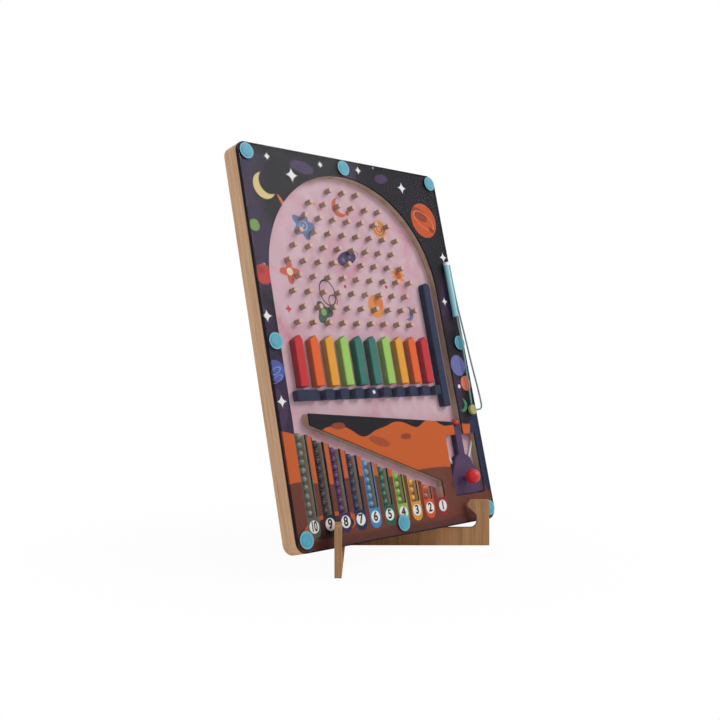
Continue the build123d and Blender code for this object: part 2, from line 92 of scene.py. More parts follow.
def steps(look, share, stops, kind="LINEAR"):
    """a row of colours, each from its own share on"""
    ramp = look.node_tree.nodes.new("ShaderNodeValToRGB")
    ramp.color_ramp.interpolation = kind
    while len(ramp.color_ramp.elements) < len(stops):
        ramp.color_ramp.elements.new(1.0)
    for element, (place, colour) in zip(ramp.color_ramp.elements, stops):
        element.position = place
        element.color = colour
    look.node_tree.links.new(share, ramp.inputs[0])
    return ramp.outputs[0]


def speckle(look, place, scale, detail=3.0, rough=0.5, warp=0.0):
    """uneven spots, as many to the millimetre as the scale says"""
    feeds = {"Vector": place, "Scale": scale, "Detail": detail, "Roughness": rough}
    return lay(look, "TexNoise", {**feeds, "Distortion": warp})


def stretched(look, place, scale):
    """a place drawn out along its axes, for fibres and brush marks"""
    return lay(look, "Mapping", {"Vector": place, "Scale": scale})


def object_spot(look):
    """the place on the object, in metres"""
    return lay(look, "TexCoord", {}, result=3)


def table_place(look):
    """millimetres along the table's axes"""
    return stretched(look, object_spot(look), (1000, 1000, 1000))


def finish_look(look, colour, height=None, depth=0.1, rough=None):
    """joins a colour, a relief in millimetres and a roughness to the shader"""
    shader = look.node_tree.nodes["Principled BSDF"]
    look.node_tree.links.new(colour, shader.inputs["Base Color"])
    if height is not None:
        relief = {"Height": height, "Distance": depth / 1000, "Strength": 0.6}
        look.node_tree.links.new(lay(look, "Bump", relief), shader.inputs["Normal"])
    if rough is not None:
        look.node_tree.links.new(rough, shader.inputs["Roughness"])


def grain(look, place, stretch, light, middle, dark):
    """wood: long fibres, a slow change of tone and fine dark pores"""
    along = stretched(look, place, stretch)
    fibre = speckle(look, along, 1.0, 5.0, 0.62, 0.35)
    slow = speckle(look, along, 0.16, 2.0, 0.5, 0.6)
    pore = speckle(look, along, 3.4, 2.0, 0.6)
    slow_part = reckon(look, "MULTIPLY", slow, 0.38)
    tone = reckon(look, "MULTIPLY_ADD", fibre, 0.62, slow_part)
    colour = steps(look, tone, [(0.34, dark), (0.50, middle), (0.66, light)])
    pit_range = {"From Min": 0.30, "From Max": 0.38, "To Min": 1.0, "To Max": 0.0}
    pits = lay(look, "MapRange", {"Value": pore, **pit_range})
    colour = blend_in(look, reckon(look, "MULTIPLY", pits, 0.35), colour, dark)
    height = reckon(look, "SUBTRACT", fibre, reckon(look, "MULTIPLY", pits, 0.6))
    return colour, height


def dress(node, look):
    """a CAD node that keeps its shape and takes a look"""
    mesh = nodes[node].data
    mesh.materials.clear()
    mesh.materials.append(look)


stand_look = coat("oiled_brown_wood", 0.52, Specular_IOR_Level=0.35)
wood_colour, wood_relief = grain(
    stand_look, table_place(stand_look), (0.85, 0.85, 0.022),
    seen(198, 152, 108), seen(178, 134, 90), seen(144, 104, 68),
)
finish_look(stand_look, wood_colour, wood_relief, 0.08)
for plate in ("stand_left", "stand_right"):
    dress(plate, stand_look)


# Board wood: the back board and the frame layer are pale beech with the grain up the board.
# The walls of the cut-outs are painted darker than the sanded outer edge, as painted shade in
# the recesses, and the walls of the slots are painted paler again, as painted light.
lean = radians(13.5)
board_corner = Vector((-111.25, -72.0, 17.895))
board_axes = Matrix((
    (1, 0, 0),
    (0, sin(lean), -cos(lean)),
    (0, cos(lean), sin(lean)),
))
in_metres = Matrix.Diagonal((0.001,) * 3).to_4x4()
board_place = in_metres @ Matrix.Translation(board_corner) @ board_axes.to_4x4()
board_middle = (111.0, 150.49)
board_half = (109.0, 150.49)


def board_spot(look):
    """the place on the board, in millimetres across it, up its face and out of it"""
    shift = -(board_axes.transposed() @ board_corner)
    turn = (lean - pi / 2, 0, 0)
    feeds = {"Location": shift, "Rotation": turn, "Scale": (1000, 1000, 1000)}
    return lay(look, "Mapping", {"Vector": object_spot(look), **feeds})


def parted(look, place):
    """the three measures of a place, each by itself"""
    return lay(look, "SeparateXYZ", {0: place}).node.outputs


def beyond(look, value, limit, soft=0.1):
    """0 below a limit and 1 above it, over a short softened step"""
    feeds = {"Value": value, "From Min": limit - soft, "From Max": limit + soft}
    return lay(look, "MapRange", feeds)


def within(look, value, limit, soft=0.1):
    """1 below a limit and 0 above it"""
    return reckon(look, "SUBTRACT", 1.0, beyond(look, value, limit, soft))


def off_middle(look, value, middle):
    """how far a measure lies from a middle, on either side"""
    return reckon(look, "ABSOLUTE", reckon(look, "SUBTRACT", value, middle))


def near_edge(look, u, v, band):
    """1 in a band along the board's outline, and 0 inside it"""
    at_sides = beyond(look, off_middle(look, u, board_middle[0]), board_half[0] - band)
    at_ends = beyond(look, off_middle(look, v, board_middle[1]), board_half[1] - band)
    return reckon(look, "MAXIMUM", at_sides, at_ends)


pitch = 15.2
ball_step = 6.0
slot_fall = ball_step / pitch
slot_tops = 95.5
frame_back = -7.4
sanded_band = 4.0
board_look = coat("pale_beech", 0.55, Specular_IOR_Level=0.2)
spot = board_spot(board_look)
u, v, w = parted(board_look, spot)
edge_wood, edge_relief = grain(
    board_look, spot, (0.8, 0.018, 0.8),
    seen(246, 202, 162), seen(226, 182, 144), seen(194, 146, 108),
)
# the walls of the cut-outs: their own grain, painted darker as painted shade of the recesses
cut_wood_shading = grain(
    board_look, spot, (0.7, 0.05, 1.3),
    seen(206, 186, 160), seen(186, 165, 140), seen(152, 129, 109),
)[0]
in_frame = beyond(board_look, w, frame_back + 0.1)
# the cut walls inside the frame layer take the painted shade, away from the sanded outer band
cut_wall_shade = reckon(board_look, "SUBTRACT", in_frame, near_edge(board_look, u, v, sanded_band))
cut_wall_shade = lay(board_look, "Clamp", {0: cut_wall_shade})
slot_line = reckon(board_look, "MULTIPLY_ADD", u, slot_fall, v)
# the walls of the slots are painted paler, a painted lift of light in their narrow shade
slot_wall_light = reckon(board_look, "MULTIPLY", within(board_look, slot_line, slot_tops), 0.5)
cut_wood_shading = blend_in(board_look, slot_wall_light, cut_wood_shading, seen(236, 220, 192))
finish_look(board_look, blend_in(board_look, cut_wall_shade, edge_wood, cut_wood_shading), edge_relief, 0.06)
for layer in ("base_board", "frame_board"):
    dress(layer, board_look)


# Playfield sheet: satin pink print under the pegs, washed with deeper pink, and strewn with
# plain motifs of flat ink between the pegs.
ink_edge = 0.12
petal_edge = 0.15


def reach_of(look, across, along):
    """how far a place lies from a middle, by its two measures"""
    squares = [reckon(look, "MULTIPLY", measure, measure) for measure in (across, along)]
    return reckon(look, "SQRT", reckon(look, "ADD", *squares))


def disc(look, u, v, middle, radius, squeeze=1.0, turn=0.0):
    """a round or oval patch of ink, 1 inside and 0 outside"""
    du = reckon(look, "SUBTRACT", u, middle[0])
    dv = reckon(look, "SUBTRACT", v, middle[1])
    if turn:
        across = reckon(look, "MULTIPLY_ADD", du, cos(turn), reckon(look, "MULTIPLY", dv, sin(turn)))
        dv = reckon(look, "MULTIPLY_ADD", dv, cos(turn), reckon(look, "MULTIPLY", du, -sin(turn)))
        du = across
    dv = reckon(look, "DIVIDE", dv, squeeze)
    return within(look, reach_of(look, du, dv), radius, ink_edge)


def ring(look, u, v, middle, radius, wide, squeeze=1.0, turn=0.0):
    """a round or oval line of ink"""
    outer = disc(look, u, v, middle, radius + wide / 2, squeeze, turn)
    inner = disc(look, u, v, middle, radius - wide / 2, squeeze, turn)
    return reckon(look, "SUBTRACT", outer, inner)


def crescent(look, u, v, middle, radius, away):
    """a disc with a second disc taken out of it, moved by away"""
    bite = disc(look, u, v, (middle[0] + away[0], middle[1] + away[1]), radius * 0.92)
    whole = disc(look, u, v, middle, radius)
    return lay(look, "Clamp", {0: reckon(look, "SUBTRACT", whole, bite)})


def blossom(look, u, v, middle, radius, petals, depth):
    """a patch of ink with rounded petals"""
    du = reckon(look, "SUBTRACT", u, middle[0])
    dv = reckon(look, "SUBTRACT", v, middle[1])
    turn = reckon(look, "MULTIPLY", reckon(look, "ARCTAN2", dv, du), petals)
    outline = reckon(look, "MULTIPLY_ADD", reckon(look, "COSINE", turn), depth, radius)
    past = reckon(look, "SUBTRACT", reach_of(look, du, dv), outline)
    return within(look, past, 0.0, petal_edge)


def spark(look, u, v, middle, reach):
    """a star with four drawn-out points"""
    drawn_in = 0.58
    arms = []
    for value, centre in ((u, middle[0]), (v, middle[1])):
        share = reckon(look, "DIVIDE", off_middle(look, value, centre), reach)
        arms.append(reckon(look, "POWER", share, drawn_in))
    return within(look, reckon(look, "ADD", *arms), 1.0, 0.05)


def print_over(look, u, v, ground, motifs, cover=1.0):
    """prints motifs over a ground, one after another: each a shape, its sizes and its ink"""
    for shape, sizes, ink in motifs:
        share = reckon(look, "MULTIPLY", shape(look, u, v, *sizes), cover)
        ground = blend_in(look, share, ground, seen(*ink))
    return ground


sheet_look = coat("pink_print", 0.5, Specular_IOR_Level=0.15)
spot = board_spot(sheet_look)
u, v = parted(sheet_look, spot)[:2]
wash = speckle(sheet_look, spot, 0.035, 3.0, 0.55, 0.8)
fleck = reckon(sheet_look, "MULTIPLY", speckle(sheet_look, spot, 0.5, 2.0, 0.6), 0.10)
pink = steps(sheet_look, wash, [
    (0.36, seen(224, 191, 201)), (0.52, seen(216, 178, 190)),
    (0.62, seen(216, 165, 179)), (0.72, seen(211, 143, 157)),
])
pink = blend_in(sheet_look, fleck, pink, seen(205, 170, 190))
blue, pale_blue, navy, violet = (98, 122, 165), (150, 168, 198), (58, 52, 96), (112, 110, 160)
sand, amber, orange, brown = (222, 160, 98), (232, 150, 72), (226, 128, 70), (190, 98, 58)
rust, coral, crimson, cream = (205, 92, 62), (196, 76, 84), (196, 62, 72), (240, 222, 196)
leaf, pine, coal = (150, 175, 110), (52, 92, 78), (46, 42, 56)
sheet_motifs = [
    (blossom, ((62.0, 243.0), 9.6, 5, 2.4), blue),
    (disc, ((62.0, 243.0), 4.6), pale_blue),
    (ring, ((62.0, 243.0), 2.2, 0.9), navy),
    (disc, ((146.5, 248.0), 8.6, 0.9), sand),
    (ring, ((146.5, 248.0), 6.0, 1.1, 0.9), rust),
    (ring, ((146.5, 248.0), 3.0, 1.0, 0.9), rust),
    (crescent, ((104.0, 262.0), 8.2, (4.2, 2.6)), rust),
    (disc, ((112.0, 258.0), 1.9), rust),
    (disc, ((103.0, 219.5), 11.0, 0.52, 0.35), navy),
    (disc, ((99.0, 218.0), 2.0), violet),
    (disc, ((106.5, 221.0), 1.4), violet),
    (ring, ((103.0, 219.5), 14.0, 0.7, 0.3, 0.35), coal),
    (blossom, ((160.0, 209.0), 6.6, 9, 1.5), amber),
    (disc, ((160.0, 209.0), 3.6), rust),
    (blossom, ((41.0, 205.0), 7.4, 4, 2.6), rust),
    (disc, ((41.0, 205.0), 3.0), cream),
    (ring, ((76.0, 190.0), 7.6, 0.9, 1.35, 0.3), coal),
    (ring, ((80.5, 184.0), 4.4, 0.8), coal),
    (blossom, ((69.0, 174.5), 7.4, 3, 2.2), pine),
    (disc, ((69.0, 174.5), 2.8), leaf),
    (disc, ((127.0, 181.0), 8.8, 1.1), amber),
    (disc, ((130.5, 184.0), 5.4, 1.1), orange),
    (disc, ((123.0, 176.5), 1.6), brown),
    (crescent, ((164.0, 176.0), 6.2, (-3.4, 1.0)), blue),
    (spark, ((34.0, 176.0), 4.2), coral),
    (spark, ((84.0, 214.0), 3.2), coral),
    (spark, ((128.0, 228.0), 3.6), pine),
    (disc, ((134.0, 262.0), 1.7), leaf),
    (disc, ((77.0, 262.0), 1.5), amber),
    (disc, ((143.0, 198.0), 1.6), crimson),
    (disc, ((96.0, 196.0), 1.4), crimson),
]
pink = print_over(sheet_look, u, v, pink, sheet_motifs, 0.94)
finish_look(sheet_look, pink, speckle(sheet_look, spot, 3.0, 2.0), 0.01)
dress("playfield_sheet", sheet_look)


# Pegs: short beech dowels glued into the back board, with broken rims, and end grain on top
# painted lighter than their sides, partly as painted light.
# They stand on the same pitch as the slots below, and most rows are staggered by half of it.
def into_place(shape, name, look, body, stands_for, smooth=True):
    """turns a shape drawn on the board into a finished piece of the object"""
    bmesh.ops.transform(shape, matrix=board_place, verts=shape.verts)
    bmesh.ops.recalc_face_normals(shape, faces=shape.faces)
    mesh = bpy.data.meshes.new(name)
    shape.to_mesh(mesh)
    shape.free()
    mesh.materials.append(look)
    if smooth:
        mesh.shade_smooth()
        mesh.set_sharp_from_angle(angle=radians(38))
    piece = bpy.data.objects.new(name, mesh)
    bpy.context.scene.collection.objects.link(piece)
    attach(piece, body)
    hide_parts(*stands_for)


def rim(shape, level):
    """the edges of a shape that lie at one level over the board"""
    return [e for e in shape.edges if all(abs(end.co.z - level) < 1e-4 for end in e.verts)]


floor_level = -7.0
peg_foot = floor_level - 2.9
peg_top = floor_level + 6.0
peg_radius = 2.0
peg_rim = 0.3
first_peg_u, first_peg_v = 39.0, 165.48
peg_row_step = 12.0
# Each row from the lowest up: how many half pitches it starts in from the first peg, and its pegs
peg_rows = [(0, 9), (1, 9), (0, 9), (1, 9), (0, 9), (1, 8), (2, 8), (3, 7), (4, 6), (7, 3)]
pegs = bmesh.new()
for row, (half_pitches, count) in enumerate(peg_rows):
    for i in range(count):
        peg_u = first_peg_u + (half_pitches / 2 + i) * pitch
        peg_v = first_peg_v + row * peg_row_step
        middle = Matrix.Translation((peg_u, peg_v, (peg_foot + peg_top) / 2))
        bmesh.ops.create_cone(
            pegs, cap_ends=True, segments=24, radius1=peg_radius, radius2=peg_radius,
            depth=peg_top - peg_foot, matrix=middle,
        )
bmesh.ops.bevel(
    pegs, geom=rim(pegs, peg_top), offset=peg_rim, segments=2, profile=0.5,
    affect="EDGES", material=-1,
)
peg_look = coat("beech_dowel", 0.55, Specular_IOR_Level=0.3)
spot = board_spot(peg_look)
w = parted(peg_look, spot)[2]
# the sides: beech grain, painted darker than the tops, partly as painted shade
shaded_side_grain, peg_relief = grain(
    peg_look, spot, (1.6, 1.6, 0.12),
    seen(188, 163, 142), seen(166, 141, 121), seen(136, 113, 96),
)
# the tops: end grain, painted lighter than the sides, partly as painted light
lit_end_grain = steps(peg_look, speckle(peg_look, spot, 1.1, 4.0, 0.6), [
    (0.35, seen(212, 172, 154)), (0.65, seen(232, 194, 176)),
])
on_top = beyond(peg_look, w, peg_top - 0.22, 0.12)
finish_look(peg_look, blend_in(peg_look, on_top, shaded_side_grain, lit_end_grain), peg_relief, 0.05)
into_place(pegs, "beech_pegs", peg_look, "board", ["pegs"])


# Bars: ten painted beech bars with pointed heads, standing over the gate, and the long lane
# bar. Their flanks are painted a darker, duller colour than their faces, as painted shade.
def toned(colour, factor, lift=0.0):
    """a darker or lighter tone of a colour"""
    return [min(1.0, c * factor + lift) for c in colour[:3]] + [1.0]


def facing_out(look):
    """1 where the surface looks out of the board, and 0 on its flanks"""
    outward = lay(look, "NewGeometry", {}, result=1)
    feeds = {0: outward, 1: board_axes.col[2]}
    return lay(look, "VectorMath", feeds, result=1, operation="DOT_PRODUCT")


def painted(name, face_colour, flank_shading, roughness=0.46):
    """brushed paint on a wooden piece of the board, its flanks in their own colour of painted light
    and shade
    """
    look = coat(name, roughness, Specular_IOR_Level=0.12)
    spot = board_spot(look)
    on_face = beyond(look, facing_out(look), 0.4, 0.25)
    brush = speckle(look, stretched(look, spot, (1.4, 0.07, 1.4)), 1.0, 3.0, 0.6)
    cloudy = reckon(look, "MULTIPLY", speckle(look, spot, 0.12, 2.0), on_face)
    # the flanks take their own colour by the way they face: painted shade, and painted light on the
    # gate
    colour = blend_in(look, on_face, flank_shading, face_colour)
    brushed = reckon(look, "MULTIPLY", brush, 0.30)
    colour = blend_in(look, brushed, colour, toned(face_colour, 0.72))
    paler = reckon(look, "MULTIPLY", cloudy, 0.22)
    colour = blend_in(look, paler, colour, toned(face_colour, 1.25, 0.02))
    sheen = {"Value": brush, "To Min": roughness - 0.06, "To Max": roughness + 0.12}
    finish_look(look, colour, brush, 0.05, lay(look, "MapRange", sheen))
    return look


# each paint: its face colour, then a darker flank colour that is painted shade
bar_paints = {
    "red": painted("red_paint", seen(206, 52, 56), seen(164, 64, 72)),
    "orange": painted("orange_paint", seen(242, 102, 44), seen(174, 110, 76)),
    "yellow": painted("yellow_paint", seen(240, 166, 54), seen(172, 141, 82)),
    "lime": painted("lime_paint", seen(162, 208, 102), seen(134, 166, 98)),
    "teal": painted("teal_paint", seen(60, 122, 110), seen(54, 106, 96)),
}
for node in nodes:
    if node.startswith("bar_"):
        dress(node, bar_paints[node.split("_")[2]])
dress("lane_bar", painted("navy_paint", seen(44, 52, 80), seen(46, 53, 76), 0.5))


# Gate: a navy wooden slide with nine channels for the balls, which the wand draws along its
# groove by the bright steel plug in the middle. Its channels and flanks are painted paler than
# its face, as painted light in their shade.
def two_tones(look, share, dark, light):
    """a soft change between two tones of one colour"""
    return steps(look, share, [(0.3, seen(*dark)), (0.7, seen(*light))])


# the second colour is painted light on the channels and flanks
dress("release_gate", painted("gate_navy_paint", seen(42, 50, 75), seen(76, 82, 108), 0.5))
steel_look = coat("bright_steel", 0.22, Metallic=1.0)
scratch = speckle(steel_look, board_spot(steel_look), 2.5, 3.0)
steel = two_tones(steel_look, scratch, (196, 198, 204), (232, 234, 238))
finish_look(steel_look, steel, scratch, 0.01)
dress("gate_plug", steel_look)


# Balls: lacquered metal beads of 5.9 mm, one colour to a slot, as many as the slot's number.
# The last one waits in the launching lane on the plunger's nose.
def lacquered(name, colour):
    """thin satin lacquer over metal, a little uneven in tone"""
    look = coat(name, 0.42, Metallic=0.2, Coat_Weight=0.15, Coat_Roughness=0.2)
    spot = table_place(look)
    mottle = speckle(look, spot, 0.7, 3.0, 0.6)
    mottled = steps(look, mottle, [(0.36, toned(colour, 0.62)), (0.60, colour)])
    finish_look(look, mottled, speckle(look, spot, 4.0), 0.008)
    return look


ball_radius = 2.95
ball_level = floor_level + ball_step / 2
slot_floor = 23.5
first_slot = 19.8
lane_ball_u = 194.8
plunger_nose = 79.0
ball_colours = {
    "10_grey": seen(128, 134, 122),
    "9_black": seen(50, 52, 56),
    "8_purple": seen(96, 60, 112),
    "7_navy": seen(52, 60, 92),
    "6_blue": seen(102, 166, 208),
    "5_green": seen(52, 126, 104),
    "4_lime": seen(162, 204, 96),
    "3_yellow": seen(242, 176, 66),
    "2_orange": seen(228, 96, 58),
}


def ball(shape, u, v):
    """adds a ball that lies on the playfield"""
    bmesh.ops.create_uvsphere(
        shape, u_segments=32, v_segments=18, radius=ball_radius,
        matrix=Matrix.Translation((u, v, ball_level)),
    )


for i, (name, colour) in enumerate(ball_colours.items()):
    count, shade = name.split("_")
    column = bmesh.new()
    for k in range(int(count)):
        ball(column, first_slot + i * pitch, slot_floor + (k + 0.5) * ball_step)
    into_place(
        column, "beads_" + name, lacquered(shade + "_lacquer", colour),
        "column_" + name, ["balls_" + name],
    )
lane_ball = bmesh.new()
ball(lane_ball, lane_ball_u, plunger_nose + ball_step / 2)
red_lacquer = lacquered("red_lacquer", seen(200, 66, 58))
into_place(lane_ball, "bead_1_red", red_lacquer, "lane_ball", ["ball_1_red"])


# Plunger: a flat purple wooden slide with a narrow nose, round shoulders and a wide foot. Its
# steel stem carries a glossy red knob in front of the cover, and a white elastic band, hooked
# behind its notches, pulls it back up.
# the plunger's flanks are painted darker than its face, as painted shade
dress("plunger", painted("purple_paint", seen(84, 60, 95), seen(60, 44, 74), 0.45))
dress("knob_stem", steel_look)
plunger_axis = 193.5
knob_axis = 191.0
knob_height = 36.0
knob_radius = 6.0
knob_level = 7.3
knob = bmesh.new()
bmesh.ops.create_uvsphere(
    knob, u_segments=48, v_segments=32, radius=knob_radius,
    matrix=Matrix.Translation((knob_axis, knob_height, knob_level)),
)
knob_look = coat(
    "glossy_red_plastic", 0.34, Coat_Weight=0.2, Coat_Roughness=0.25, Specular_IOR_Level=0.3,
)
spot = board_spot(knob_look)
swirl = speckle(knob_look, spot, 0.16, 2.0, 0.5, 1.0)
knob_red = two_tones(knob_look, swirl, (202, 32, 40), (226, 44, 50))
finish_look(knob_look, knob_red, speckle(knob_look, spot, 0.9), 0.01)
into_place(knob, "round_knob", knob_look, "plunger", ["plunger_knob"])


def on_board(place):
    """a place on the board as a point of the object, in metres"""
    return board_place @ Vector(place)


def strand_line(places, name):
    """the smooth line of a cord or band through its control points on the board"""
    curve = bpy.data.curves.new(name, "CURVE")
    curve.dimensions = "3D"
    curve.resolution_u = 12
    line = curve.splines.new("NURBS")
    line.points.add(len(places) - 1)
    for point, place in zip(line.points, places):
        point.co = (*on_board(place), 1.0)
    line.order_u = 3
    line.use_endpoint_u = True
    return curve


def drawn_mesh(curve, name):
    """the mesh that a curve draws, by itself or with its round section"""
    holder = bpy.data.objects.new(name, curve)
    bpy.context.scene.collection.objects.link(holder)
    bpy.context.view_layer.update()
    mesh = bpy.data.meshes.new_from_object(holder)
    bpy.data.objects.remove(holder)
    return mesh


def round_strand(places, name, thick, look):
    """a round strand as a closed mesh, with its thickness in millimetres"""
    curve = strand_line(places, name)
    curve.bevel_depth = thick / 2000
    curve.bevel_resolution = 4
    curve.use_fill_caps = True
    mesh = drawn_mesh(curve, name)
    mesh.name = name
    shape = bmesh.new()
    shape.from_mesh(mesh)
    bmesh.ops.remove_doubles(shape, verts=shape.verts, dist=1e-7)
    bmesh.ops.recalc_face_normals(shape, faces=shape.faces)
    shape.to_mesh(mesh)
    shape.free()
    mesh.shade_smooth()
    mesh.materials.clear()
    mesh.materials.append(look)
    strand = bpy.data.objects.new(name, mesh)
    bpy.context.scene.collection.objects.link(strand)
    return strand


elastic_look = coat("white_elastic", 0.7, Sheen_Weight=0.3)
weave_feeds = {"Scale": 0.9, "Distortion": 1.2, "Detail": 1.0}
weave = lay(
    elastic_look, "TexWave", {"Vector": board_spot(elastic_look), **weave_feeds}, result=1,
)
white = steps(elastic_look, weave, [(0.2, seen(238, 236, 232)), (0.8, seen(254, 253, 251))])
finish_look(elastic_look, white, weave, 0.04)
elastic_level = -5.7
elastic_thick = 2.1
anchor_side, anchor_height = 19.9, 66.2
notch_side, notch_height = 10.6, 49.5
for side, name in ((-1, "elastic_left"), (1, "elastic_right")):
    anchor = (plunger_axis + side * anchor_side, anchor_height, elastic_level)
    notch = (plunger_axis + side * notch_side, notch_height, elastic_level)
    places = [
        anchor,
        (notch[0] + side * 0.8, notch_height + 1.4, elastic_level),
        notch,
        (notch[0] - side * 1.6, notch_height, elastic_level),
        (plunger_axis - side * 0.02, notch_height, elastic_level),
    ]
    band = round_strand(places, name, elastic_thick, elastic_look)
    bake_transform(band)
    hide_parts("plunger_elastic")


# Printed face: a thin panel glued over the frame layer, printed with a night sky of dark
# purples, plain planets and stars, and orange and brown dunes, with a coloured tab per slot.
face_look = coat("night_sky_print", 0.45, Specular_IOR_Level=0.08)
spot = board_spot(face_look)
u, v, w = parted(face_look, spot)
cloud = speckle(face_look, spot, 0.013, 1.0, 0.4, 0.6)
cloud = reckon(face_look, "SUBTRACT", cloud, 0.01)
left_side = beyond(face_look, reckon(face_look, "SUBTRACT", board_middle[0], u), 88.0, 24.0)
cloud = reckon(face_look, "MULTIPLY_ADD", left_side, 0.12, cloud)
sky = steps(face_look, cloud, [
    (0.0, seen(22, 21, 23)), (0.525, seen(42, 33, 48)),
    (0.555, seen(57, 43, 68)), (0.66, seen(76, 55, 84)),
], "CONSTANT")
haze = reckon(face_look, "MULTIPLY", speckle(face_look, spot, 0.09, 4.0, 0.6), 0.14)
sky = blend_in(face_look, haze, sky, seen(66, 56, 86))
cell_middle = lay(face_look, "TexVoronoi", {"Vector": spot, "Scale": 0.075})
cell_chance = parted(face_look, cell_middle.node.outputs["Color"])[0]
dot_size = reckon(face_look, "MULTIPLY_ADD", cell_chance, 0.16, -0.06)
dots = reckon(face_look, "LESS_THAN", cell_middle, dot_size)
sky = blend_in(face_look, reckon(face_look, "MULTIPLY", dots, 0.8), sky, seen(196, 190, 200))
tail_turn = radians(-58)
planets = [
    (disc, ((197.0, 258.0), 15.5), (206, 90, 48)),
    (disc, ((193.0, 263.0), 9.5, 0.55, -0.5), (152, 68, 46)),
    (ring, ((197.0, 258.0), 12.5, 1.2, 0.5, -0.5), (232, 142, 84)),
    (disc, ((205.0, 250.0), 3.6, 0.6, -0.5), (146, 66, 48)),
    (crescent, ((23.0, 268.0), 10.5, (5.0, 3.4)), (226, 204, 138)),
    (disc, ((8.0, 236.0), 4.6), (120, 160, 84)),
    (disc, ((9.5, 199.0), 7.6), (196, 66, 62)),
    (disc, ((7.0, 202.0), 3.4, 0.7), (164, 50, 54)),
    (disc, ((7.0, 128.0), 7.8), (84, 100, 170)),
    (ring, ((7.0, 128.0), 4.6, 1.2, 0.45, 0.5), (140, 158, 214)),
    (ring, ((7.0, 122.0), 5.4, 0.9, 0.35, 0.5), (140, 158, 214)),
    (disc, ((207.0, 130.0), 9.0), (112, 116, 178)),
    (disc, ((213.0, 114.5), 6.4), (232, 118, 92)),
    (disc, ((203.6, 112.0), 1.7), (240, 234, 232)),
    (crescent, ((204.0, 96.0), 5.6, (-2.6, 1.2)), (72, 148, 104)),
    (disc, ((152.0, 290.0), 8.0, 0.5, 0.2), (78, 58, 92)),
    (disc, ((64.0, 288.0), 12.0, 0.42, -0.1), (74, 56, 88)),
    (disc, ((39.0, 255.0), 9.0, 0.16, tail_turn), (214, 112, 76)),
    (disc, ((41.0, 251.6), 5.6, 0.2, tail_turn), (238, 196, 176)),
    (disc, ((43.4, 247.6), 2.0), (244, 236, 228)),
]
star_places = [
    (52.0, 280.0, 6.6), (126.0, 294.0, 4.0), (176.0, 285.0, 5.6), (214.0, 226.0, 5.0),
    (6.5, 168.0, 5.2), (205.0, 186.0, 4.2), (8.0, 106.0, 5.0), (30.0, 292.0, 3.6),
    (84.0, 293.0, 3.4),
]
star_white = (246, 244, 244)
stars = [(spark, ((star_u, star_v), reach), star_white) for star_u, star_v, reach in star_places]


def dune(look, u, v, level, swing, wave, seed):
    """ground below a rolling line"""
    line = lay(look, "CombineXYZ", {0: reckon(look, "MULTIPLY", u, 1 / wave), 1: seed})
    roll = speckle(look, line, 1.0, 1.0, 0.4)
    crest = reckon(look, "MULTIPLY_ADD", roll, swing, level - swing / 2)
    return within(look, reckon(look, "SUBTRACT", v, crest), 0.0, ink_edge)


ground = [
    (dune, (84.0, 26.0, 34.0, 3.7), (206, 98, 46)),
    (disc, ((58.0, 86.0), 7.0, 0.36), (150, 70, 44)),
    (disc, ((128.0, 74.0), 6.0, 0.4), (150, 70, 44)),
    (disc, ((98.0, 72.0), 11.0, 0.3, -0.3), (168, 80, 46)),
    (dune, (46.0, 22.0, 52.0, 9.1), (112, 62, 48)),
    (disc, ((36.0, 16.0), 26.0, 0.34, 0.08), (190, 92, 48)),
    (disc, ((36.0, 14.6), 22.0, 0.34, 0.08), (66, 44, 40)),
    (disc, ((178.0, 32.0), 8.0, 0.4), (86, 50, 42)),
    (disc, ((226.0, 58.0), 21.0, 1.85), (42, 46, 76)),
    (disc, ((196.0, 14.0), 11.0, 0.35), (198, 96, 48)),
    (dune, (7.0, 9.0, 46.0, 5.3), (94, 52, 44)),
]
sky = print_over(face_look, u, v, sky, planets + stars + ground)
tab_radius = 5.6
tab_end = 14.3
tab_tops = 91.3
tab_inks = [
    (96, 96, 88), (38, 38, 40), (74, 44, 84), (38, 50, 84), (72, 138, 186),
    (42, 98, 80), (142, 182, 84), (222, 152, 60), (216, 86, 48), (158, 44, 50),
]
slot_count = len(tab_inks)
slot_share = reckon(face_look, "DIVIDE", reckon(face_look, "SUBTRACT", u, first_slot), pitch)
slot_index = reckon(face_look, "ROUND", slot_share)
slot_index = lay(face_look, "Clamp", {0: slot_index, 1: 0.0, 2: slot_count - 1.0})
beside = reckon(face_look, "SUBTRACT", slot_share, slot_index)
beside = reckon(face_look, "MULTIPLY", beside, pitch)
below = reckon(face_look, "MINIMUM", reckon(face_look, "SUBTRACT", v, tab_end), 0.0)
tab = within(face_look, reach_of(face_look, beside, below), tab_radius)
tab_line = reckon(face_look, "MULTIPLY_ADD", u, slot_fall, v)
tab = reckon(face_look, "MULTIPLY", tab, reckon(face_look, "LESS_THAN", tab_line, tab_tops))
tab_ink = steps(
    face_look, reckon(face_look, "MULTIPLY_ADD", slot_index, 1 / slot_count, 0.5 / slot_count),
    [(i / slot_count, seen(*ink)) for i, ink in enumerate(tab_inks)], "CONSTANT",
)
sky = blend_in(face_look, tab, sky, tab_ink)
number_middle = 16.9
number_disc = 4.5
number_rise = reckon(face_look, "SUBTRACT", v, number_middle)
number_ground = within(face_look, reach_of(face_look, beside, number_rise), number_disc)
sky = blend_in(face_look, number_ground, sky, seen(240, 238, 236))
dark_border = 0.8
print_depth = 0.45
below_face = reckon(face_look, "MULTIPLY", w, -1.0)
dark_edge = reckon(
    face_look, "MAXIMUM", beyond(face_look, below_face, print_depth, 0.15),
    near_edge(face_look, u, v, dark_border),
)
sky = blend_in(face_look, dark_edge, sky, seen(34, 24, 34))
finish_look(face_look, sky, speckle(face_look, spot, 0.4, 2.0), 0.004)
dress("printed_face", face_look)


